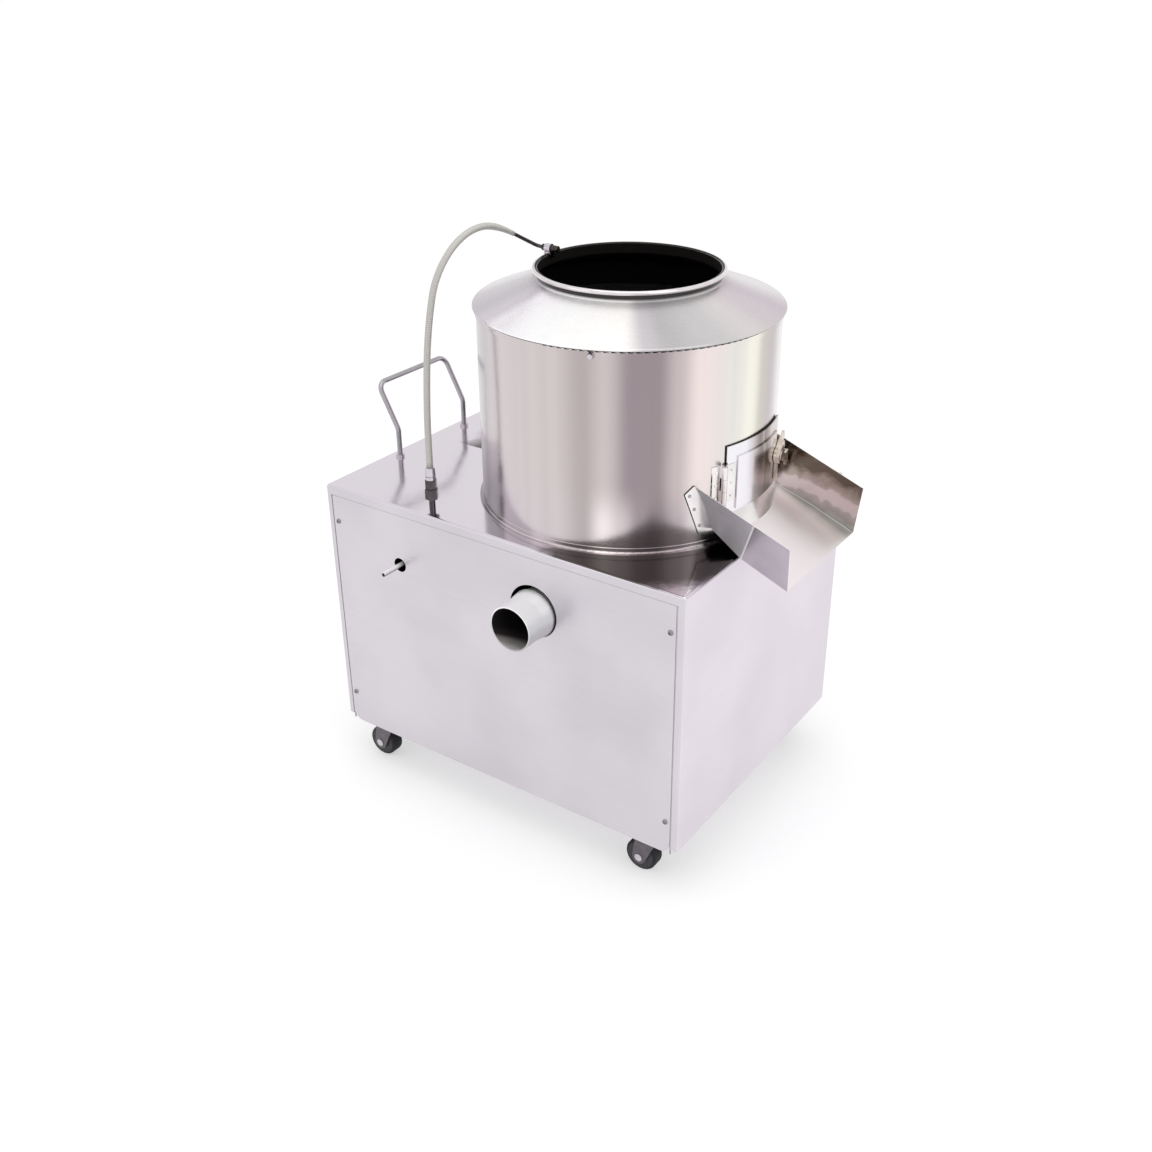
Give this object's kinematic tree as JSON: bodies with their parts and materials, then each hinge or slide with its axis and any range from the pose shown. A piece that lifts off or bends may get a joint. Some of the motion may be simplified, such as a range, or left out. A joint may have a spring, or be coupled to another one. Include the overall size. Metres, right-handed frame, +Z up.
{
  "type": "electric potato peeler",
  "caption": "Stainless cabinet on casters with an upright peeling barrel, turning abrasive disc, water hose, latched discharge door, chute and push handle.",
  "frame": {"origin": "on the floor, under the middle of the whole machine", "axes": "+Z up, +X to the chute end, -Y to the drain side"},
  "size_m": [0.7169, 0.565, 0.8684],
  "materials": {
    "stainless_panel": "satin",
    "stainless_barrel": "polished",
    "stainless_chute": "polished",
    "bright_steel": "polished",
    "dark_steel": "satin",
    "nozzle_brass": "satin",
    "frame_paint": "satin",
    "fork_paint": "satin",
    "caster_tread": "matte",
    "abrasive_grit": "matte",
    "abrasive_casting": "matte",
    "machined_steel": "satin",
    "housing_iron": "matte",
    "pulley_alloy": "satin",
    "motor_alloy": "satin",
    "seal_rubber": "matte",
    "belt_rubber": "matte",
    "hose_sleeve": "satin",
    "box_plastic": "matte",
    "gland_plastic": "matte",
    "button_green": "gloss",
    "button_red": "gloss"
  },
  "bodies": {
    "cabinet": {"cabinet_shell": "stainless_panel", "drain_side_panel": "stainless_panel", "rear_side_panel": "stainless_panel", "bottom_cover": "stainless_panel", "barrel": "stainless_barrel", "hood": "stainless_barrel", "drain_pan": "stainless_barrel", "chute": "stainless_chute", "latch_keeper": "stainless_chute", "barrel_hinge_leaf": "stainless_chute", "rim_ring": "bright_steel", "hood_bolts": "bright_steel", "push_handle": "bright_steel", "handle_nuts": "bright_steel", "chute_rivets": "bright_steel", "hinge_pin": "bright_steel", "nozzle_clip": "bright_steel", "hose_nut": "bright_steel", "hose_ferrule": "bright_steel", "tap_fitting": "bright_steel", "drain_pipe": "bright_steel", "inlet_pipe": "bright_steel", "spray_tube": "dark_steel", "panel_screws": "dark_steel", "spray_nozzle": "nozzle_brass", "base_frame": "frame_paint", "motor_plate": "frame_paint", "caster_plates": "frame_paint", "abrasive_liner": "abrasive_grit", "spindle_bearings": "machined_steel", "bearing_housing": "housing_iron", "motor_body": "motor_alloy", "shaft_seal": "seal_rubber", "drive_belts": "belt_rubber", "water_hose": "hose_sleeve", "switch_box": "box_plastic", "cable_gland": "gland_plastic"},
    "turntable": {"abrasive_disc": "abrasive_casting", "drive_shaft": "machined_steel", "driven_pulley": "pulley_alloy"},
    "motor_rotor": {"motor_shaft": "machined_steel", "motor_pulley": "pulley_alloy"},
    "door": {"door_panel": "stainless_barrel", "door_gasket": "seal_rubber", "door_hinge_leaf": "stainless_chute"},
    "latch": {"latch_lever": "stainless_chute"},
    "start_button": {"start_button": "button_green"},
    "stop_button": {"stop_button": "button_red"},
    "swivel_drain_chute": {"caster_fork_drain_chute": "fork_paint", "caster_axle_drain_chute": "bright_steel"},
    "wheel_drain_chute": {"caster_wheel_drain_chute": "caster_tread"},
    "swivel_rear_chute": {"caster_fork_rear_chute": "fork_paint", "caster_axle_rear_chute": "bright_steel"},
    "wheel_rear_chute": {"caster_wheel_rear_chute": "caster_tread"},
    "swivel_drain_handle": {"caster_fork_drain_handle": "fork_paint", "caster_axle_drain_handle": "bright_steel"},
    "wheel_drain_handle": {"caster_wheel_drain_handle": "caster_tread"},
    "swivel_rear_handle": {"caster_fork_rear_handle": "fork_paint", "caster_axle_rear_handle": "bright_steel"},
    "wheel_rear_handle": {"caster_wheel_rear_handle": "caster_tread"}
  },
  "joints": [
    {"name": "turntable_spin", "type": "hinge", "parent": "cabinet", "child": "turntable", "pos_m": [0.0395, 0.0045, 0.512], "axis": [0, 0, 1], "continuous": true},
    {"name": "motor_spin", "type": "hinge", "parent": "cabinet", "child": "motor_rotor", "pos_m": [-0.2455, 0.0045, 0.202], "axis": [0, 0, 1], "continuous": true},
    {"name": "door_swing", "type": "hinge", "parent": "cabinet", "child": "door", "pos_m": [0.24173, -0.07475, 0.5685], "axis": [0, 0, -1], "range_deg": [0, 95]},
    {"name": "latch_turn", "type": "hinge", "parent": "door", "child": "latch", "pos_m": [0.25474, 0.05419, 0.57], "axis": [0.9744, 0.225, 0], "range_deg": [-55, 0]},
    {"name": "start_press", "type": "slide", "parent": "cabinet", "child": "start_button", "axis": [0, -1, 0], "range_m": [0, 0.004], "stiffness_N_per_m": 300},
    {"name": "stop_press", "type": "slide", "parent": "cabinet", "child": "stop_button", "axis": [0, -1, 0], "range_m": [0, 0.004], "stiffness_N_per_m": 300},
    {"name": "swivel_drain_chute", "type": "hinge", "parent": "cabinet", "child": "swivel_drain_chute", "pos_m": [0.2185, -0.1995, 0.066], "axis": [0, 0, 1], "continuous": true},
    {"name": "roll_drain_chute", "type": "hinge", "parent": "swivel_drain_chute", "child": "wheel_drain_chute", "pos_m": [0.2065, -0.1995, 0.025], "axis": [0, 1, 0], "continuous": true},
    {"name": "swivel_rear_chute", "type": "hinge", "parent": "cabinet", "child": "swivel_rear_chute", "pos_m": [0.2185, 0.2085, 0.066], "axis": [0, 0, 1], "continuous": true},
    {"name": "roll_rear_chute", "type": "hinge", "parent": "swivel_rear_chute", "child": "wheel_rear_chute", "pos_m": [0.2065, 0.2085, 0.025], "axis": [0, 1, 0], "continuous": true},
    {"name": "swivel_drain_handle", "type": "hinge", "parent": "cabinet", "child": "swivel_drain_handle", "pos_m": [-0.2815, -0.1995, 0.066], "axis": [0, 0, 1], "continuous": true},
    {"name": "roll_drain_handle", "type": "hinge", "parent": "swivel_drain_handle", "child": "wheel_drain_handle", "pos_m": [-0.2935, -0.1995, 0.025], "axis": [0, 1, 0], "continuous": true},
    {"name": "swivel_rear_handle", "type": "hinge", "parent": "cabinet", "child": "swivel_rear_handle", "pos_m": [-0.2815, 0.2085, 0.066], "axis": [0, 0, 1], "continuous": true},
    {"name": "roll_rear_handle", "type": "hinge", "parent": "swivel_rear_handle", "child": "wheel_rear_handle", "pos_m": [-0.2935, 0.2085, 0.025], "axis": [0, 1, 0], "continuous": true}
  ],
  "couplings": [
    {"joint": "motor_spin", "follows": "turntable_spin", "ratio": 3.5333}
  ]
}
